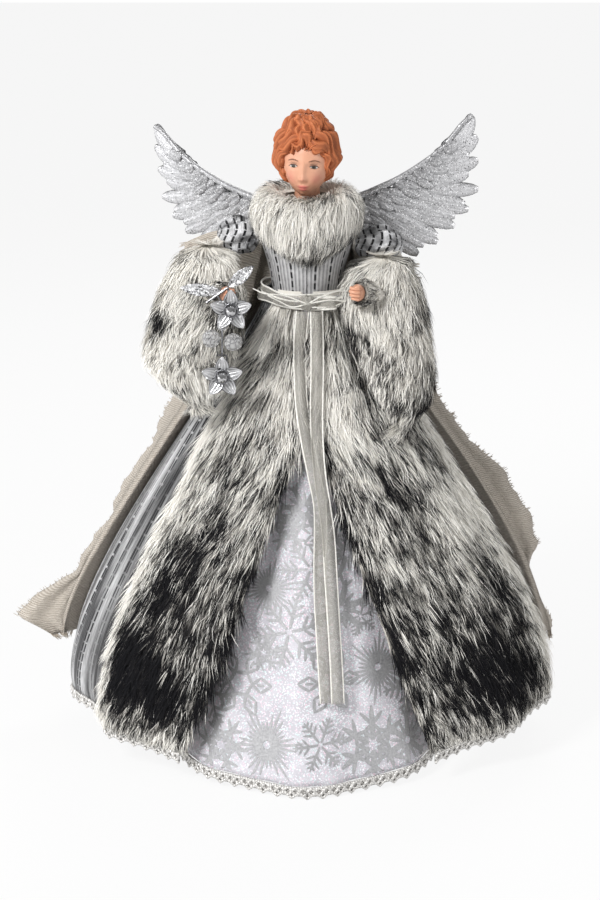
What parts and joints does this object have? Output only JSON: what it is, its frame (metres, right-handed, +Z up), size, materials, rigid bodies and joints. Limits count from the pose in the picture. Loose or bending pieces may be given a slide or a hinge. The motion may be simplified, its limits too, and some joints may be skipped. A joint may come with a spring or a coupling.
{
  "type": "angel tree topper",
  "caption": "Angel doll on a cone that slips over the top of a Christmas tree, with wings, a fur trimmed coat, a cape and a garland held in one hand.",
  "frame": {"origin": "centre of the cone's mouth, on the plane that its rim stands on", "axes": "+Z up the cone's axis to the head, -Y to the doll's front, +X to the viewer's right when the doll is seen from the front"},
  "size_m": [0.3486, 0.2461, 0.4006],
  "materials": {
    "cardboard": "plain buff card, matt",
    "light_wood": "bare turned wood, matt",
    "wire_steel": "drawn wire and plain screws",
    "stuffed_cloth": "plain woven cloth over stuffing",
    "skin_paint": "painted cast resin, satin skin",
    "ginger_paint": "painted cast resin, matt, darker in the grooves",
    "ribbed_knit": "silver lilac metallic knit with dark dashed ribs",
    "striped_satin": "silver satin with narrow black stripes, shiny",
    "fake_fur": "long pile fake fur, cream with grey and black streaks",
    "glitter_cloth": "white glitter cloth with grey snowflake print",
    "brocade": "silver satin with vertical ribs and black dashed lines",
    "silver_braid": "wavy gimp braid, silver and cream",
    "burlap": "open weave burlap, beige, frayed edges",
    "organza": "sheer beige ribbon with pale edges",
    "silver_plastic": "silver coated moulding with fine glitter",
    "metallic_pearl": "dark silver metallic bead",
    "clear_acrylic": "clear faceted bead"
  },
  "bodies": {
    "figure": {"tree_cone": "cardboard", "cone_plug": "light_wood", "spine_dowel": "light_wood", "torso": "stuffed_cloth", "shoulder_wire": "wire_steel", "head": "skin_paint", "hair": "ginger_paint", "bodice": "ribbed_knit", "fur_collar": "fake_fur", "inner_skirt": "glitter_cloth", "inner_hem_braid": "silver_braid", "coat_skirt": "brocade", "coat_fur_panel_left": "fake_fur", "coat_fur_panel_right": "fake_fur", "coat_hem_braid": "silver_braid", "cape": "burlap", "sash_band": "organza", "sash_knot": "organza", "sash_loop": "organza", "sash_tail_left": "organza", "sash_tail_right": "organza", "wing_left": "silver_plastic", "wing_right": "silver_plastic", "wing_bracket": "light_wood", "wing_screw_left": "wire_steel", "wing_screw_right": "wire_steel"},
    "left_arm": {"arm_left": "stuffed_cloth", "sleeve_puff_left": "striped_satin", "fur_sleeve_left": "fake_fur", "hand_left": "skin_paint", "sprig_stem": "silver_plastic", "glitter_leaf_left": "silver_plastic", "glitter_leaf_right": "silver_plastic", "flower_upper": "silver_plastic", "pearl_upper": "metallic_pearl"},
    "right_arm": {"arm_right": "stuffed_cloth", "sleeve_puff_right": "striped_satin", "fur_sleeve_right": "fake_fur", "hand_right": "skin_paint"},
    "garland": {"garland_wire": "wire_steel", "ice_bead_left": "clear_acrylic", "ice_bead_right": "clear_acrylic", "ice_bead_top": "clear_acrylic"},
    "lower_flower": {"lower_flower_wire": "wire_steel", "flower_lower": "silver_plastic", "pearl_lower": "metallic_pearl"}
  },
  "joints": [
    {"name": "shoulder_left", "type": "hinge", "parent": "figure", "child": "left_arm", "pos_m": [0, 0.006, 0.318], "axis": [-0.9976, 0, 0.0698], "range_deg": [0, 20]},
    {"name": "shoulder_right", "type": "hinge", "parent": "figure", "child": "right_arm", "pos_m": [0, 0.006, 0.318], "axis": [-0.9976, 0, 0.0698], "range_deg": [0, 20]},
    {"name": "garland_swing", "type": "hinge", "parent": "left_arm", "child": "garland", "pos_m": [-0.0505, -0.0645, 0.291], "axis": [0, 1, 0], "range_deg": [-20, 20]},
    {"name": "lower_flower_swing", "type": "hinge", "parent": "garland", "child": "lower_flower", "pos_m": [-0.0505, -0.0645, 0.261], "axis": [-1, 0, 0], "range_deg": [0, 30]}
  ]
}
